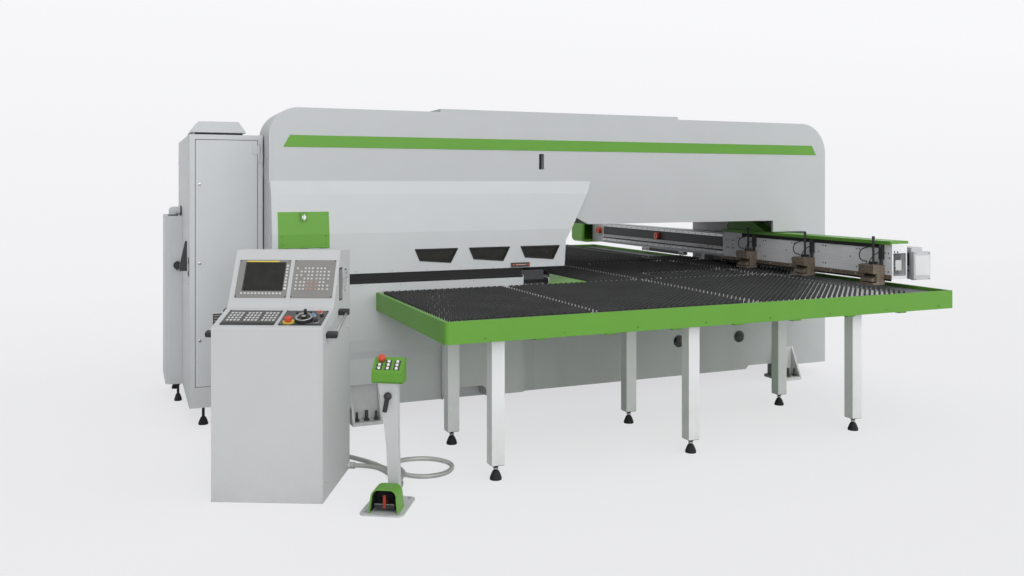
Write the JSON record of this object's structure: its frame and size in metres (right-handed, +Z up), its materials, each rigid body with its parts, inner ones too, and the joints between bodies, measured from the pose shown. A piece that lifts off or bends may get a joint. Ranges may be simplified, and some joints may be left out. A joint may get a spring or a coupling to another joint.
{
  "type": "turret punch press",
  "caption": "Sheet-metal punch press: bridge frame over a tool turret, brush tables, clamp carriage on a cross beam, cabinets, operator console and foot switch stand.",
  "frame": {"origin": "on the floor at the centre of the anchor bolt rectangle of the four foot plates", "axes": "+X along the frame to the operator's right, +Y away from the operator through the throat, +Z up"},
  "size_m": [5.565, 5.9893, 2.292],
  "materials": {
    "body_paint": "satin light grey paint",
    "console_paint": "satin pale grey paint",
    "green_paint": "satin green paint",
    "dark_paint": "satin dark paint",
    "panel_grey": "satin dark grey",
    "bare_steel": "machined",
    "dark_steel": "blackened",
    "bright_aluminium": "machined",
    "brush": "dense bristles",
    "black_plastic": "moulded",
    "rubber": "moulded",
    "red_plastic": "moulded",
    "screen": "dark screen",
    "window": "smoked",
    "sensor": "moulded",
    "conduit": "ribbed flexible metal"
  },
  "bodies": {
    "machine": {"bridge_frame": "body_paint", "roof_cover": "body_paint", "stripe_panel": "green_paint", "front_hood": "body_paint", "hood_windows": "window", "rear_covers": "body_paint", "front_skirt": "body_paint", "slot_seal": "rubber", "sensor_bar": "sensor", "turret_hubs": "dark_steel", "ram_cylinder": "dark_steel", "front_table": "green_paint", "rear_table": "green_paint", "centre_table": "dark_paint", "brush_mats": "brush", "corner_plate": "green_paint", "table_legs": "body_paint", "levelling_feet": "rubber", "cross_rails": "bare_steel", "main_cabinet": "body_paint", "side_cabinet": "body_paint", "console_housing": "console_paint", "screen_panel": "panel_grey", "screen_glass": "screen", "keyboard_panel": "panel_grey", "desk_keys": "panel_grey", "operator_panel": "panel_grey", "console_handles": "black_plastic", "foot_stand": "console_paint", "stand_box": "green_paint", "pedal_guard": "green_paint", "conduit_long": "conduit", "conduit_short": "conduit"},
    "bridge": {"bridge_beam": "body_paint", "beam_rails": "bare_steel", "beam_end_cover": "green_paint", "lubricators": "red_plastic"},
    "carriage": {"carriage_beam": "bright_aluminium", "carriage_cover": "green_paint", "clamp_bodies": "dark_steel", "clamp_posts": "black_plastic"},
    "jaw_1": {"clamp_jaw_1": "dark_steel"},
    "jaw_2": {"clamp_jaw_2": "dark_steel"},
    "jaw_3": {"clamp_jaw_3": "dark_steel"},
    "upper_tools": {"upper_turret": "bare_steel"},
    "lower_tools": {"lower_turret": "bare_steel"},
    "punch_ram": {"ram": "bare_steel"},
    "hatch": {"hood_hatch": "green_paint"},
    "latch": {"hatch_latch": "black_plastic"},
    "door": {"cabinet_door": "body_paint"},
    "isolator": {"cabinet_lever": "black_plastic"},
    "side_knob": {"side_switch": "black_plastic"},
    "estop": {"console_estop": "red_plastic"},
    "wheel": {"handwheel": "black_plastic"},
    "start": {"start_button": "black_plastic"},
    "stop": {"stop_button": "red_plastic"},
    "mode_knob": {"mode_switch": "black_plastic"},
    "foot_estop": {"stand_estop": "red_plastic"},
    "foot_pedal": {"pedal": "red_plastic"},
    "hand_lever": {"stand_lever": "black_plastic"}
  },
  "joints": [
    {"name": "bridge_slide", "type": "slide", "parent": "machine", "child": "bridge", "axis": [1, 0, 0], "range_m": [-1.2, 0]},
    {"name": "carriage_slide", "type": "slide", "parent": "bridge", "child": "carriage", "axis": [0, 1, 0], "range_m": [0, 2.4]},
    {"name": "jaw_1_hinge", "type": "hinge", "parent": "carriage", "child": "jaw_1", "pos_m": [1.75, -2.055, 1.006], "axis": [0, 1, 0], "range_deg": [-6, 0], "stiffness_Nm_per_rad": 120, "springref_deg": 1.72},
    {"name": "jaw_2_hinge", "type": "hinge", "parent": "carriage", "child": "jaw_2", "pos_m": [1.75, -1.3, 1.006], "axis": [0, 1, 0], "range_deg": [-6, 0], "stiffness_Nm_per_rad": 120, "springref_deg": 1.72},
    {"name": "jaw_3_hinge", "type": "hinge", "parent": "carriage", "child": "jaw_3", "pos_m": [1.75, -0.545, 1.006], "axis": [0, 1, 0], "range_deg": [-6, 0], "stiffness_Nm_per_rad": 120, "springref_deg": 1.72},
    {"name": "turret_spin", "type": "hinge", "parent": "machine", "child": "upper_tools", "pos_m": [-0.96, 0, 1.14], "axis": [0, 0, 1], "continuous": true},
    {"name": "lower_turret_spin", "type": "hinge", "parent": "machine", "child": "lower_tools", "pos_m": [-0.96, 0, 0.91], "axis": [0, 0, 1], "continuous": true},
    {"name": "ram_stroke", "type": "slide", "parent": "machine", "child": "punch_ram", "axis": [0, 0, 1], "range_m": [-0.037, 0], "stiffness_N_per_m": 4000, "springref_m": 0.04},
    {"name": "hatch_hinge", "type": "hinge", "parent": "machine", "child": "hatch", "pos_m": [-2.34, -0.98347, 1.281], "axis": [1, 0, 0], "range_deg": [0, 100]},
    {"name": "hatch_latch_turn", "type": "hinge", "parent": "hatch", "child": "latch", "pos_m": [-2.34, -0.96, 1.4905], "axis": [0, -1, 0], "range_deg": [0, 90]},
    {"name": "door_hinge", "type": "hinge", "parent": "machine", "child": "door", "pos_m": [-2.6, -0.627, 1.165], "axis": [0, 0, 1], "range_deg": [0, 90]},
    {"name": "isolator_turn", "type": "hinge", "parent": "machine", "child": "isolator", "pos_m": [-3.083, -0.548, 1.128], "axis": [-1, 0, 0], "range_deg": [0, 90]},
    {"name": "side_switch_turn", "type": "hinge", "parent": "machine", "child": "side_knob", "pos_m": [-3.108, 0.29, 1.08], "axis": [0, -1, 0], "range_deg": [0, 90]},
    {"name": "console_estop_push", "type": "slide", "parent": "machine", "child": "estop", "axis": [-0.1303, -0.2683, 0.9545], "range_m": [-0.004, 0], "stiffness_N_per_m": 900, "springref_m": 0.004},
    {"name": "handwheel_turn", "type": "hinge", "parent": "machine", "child": "wheel", "pos_m": [-2.57676, -2.30898, 0.98199], "axis": [-0.1303, -0.2683, 0.9545], "continuous": true},
    {"name": "start_push", "type": "slide", "parent": "machine", "child": "start", "axis": [-0.1303, -0.2683, 0.9545], "range_m": [-0.003, 0], "stiffness_N_per_m": 900, "springref_m": 0.004},
    {"name": "stop_push", "type": "slide", "parent": "machine", "child": "stop", "axis": [-0.1303, -0.2683, 0.9545], "range_m": [-0.003, 0], "stiffness_N_per_m": 900, "springref_m": 0.004},
    {"name": "mode_turn", "type": "hinge", "parent": "machine", "child": "mode_knob", "pos_m": [-2.52187, -2.35619, 0.97411], "axis": [-0.1303, -0.2683, 0.9545], "range_deg": [-45, 45]},
    {"name": "stand_estop_push", "type": "slide", "parent": "machine", "child": "foot_estop", "axis": [-0.3526, -0.5892, 0.727], "range_m": [-0.005, 0], "stiffness_N_per_m": 900, "springref_m": 0.004},
    {"name": "pedal_press", "type": "hinge", "parent": "machine", "child": "foot_pedal", "pos_m": [-2.19893, -2.65574, 0.042], "axis": [0.8581, -0.5135, 0], "range_deg": [0, 14], "stiffness_Nm_per_rad": 12, "springref_deg": -6.88},
    {"name": "hand_lever_turn", "type": "hinge", "parent": "machine", "child": "hand_lever", "pos_m": [-2.17246, -2.55504, 0.574], "axis": [-0.5135, -0.8581, 0], "range_deg": [-30, 30]}
  ],
  "couplings": [
    {"joint": "lower_turret_spin", "follows": "turret_spin", "ratio": 1}
  ]
}
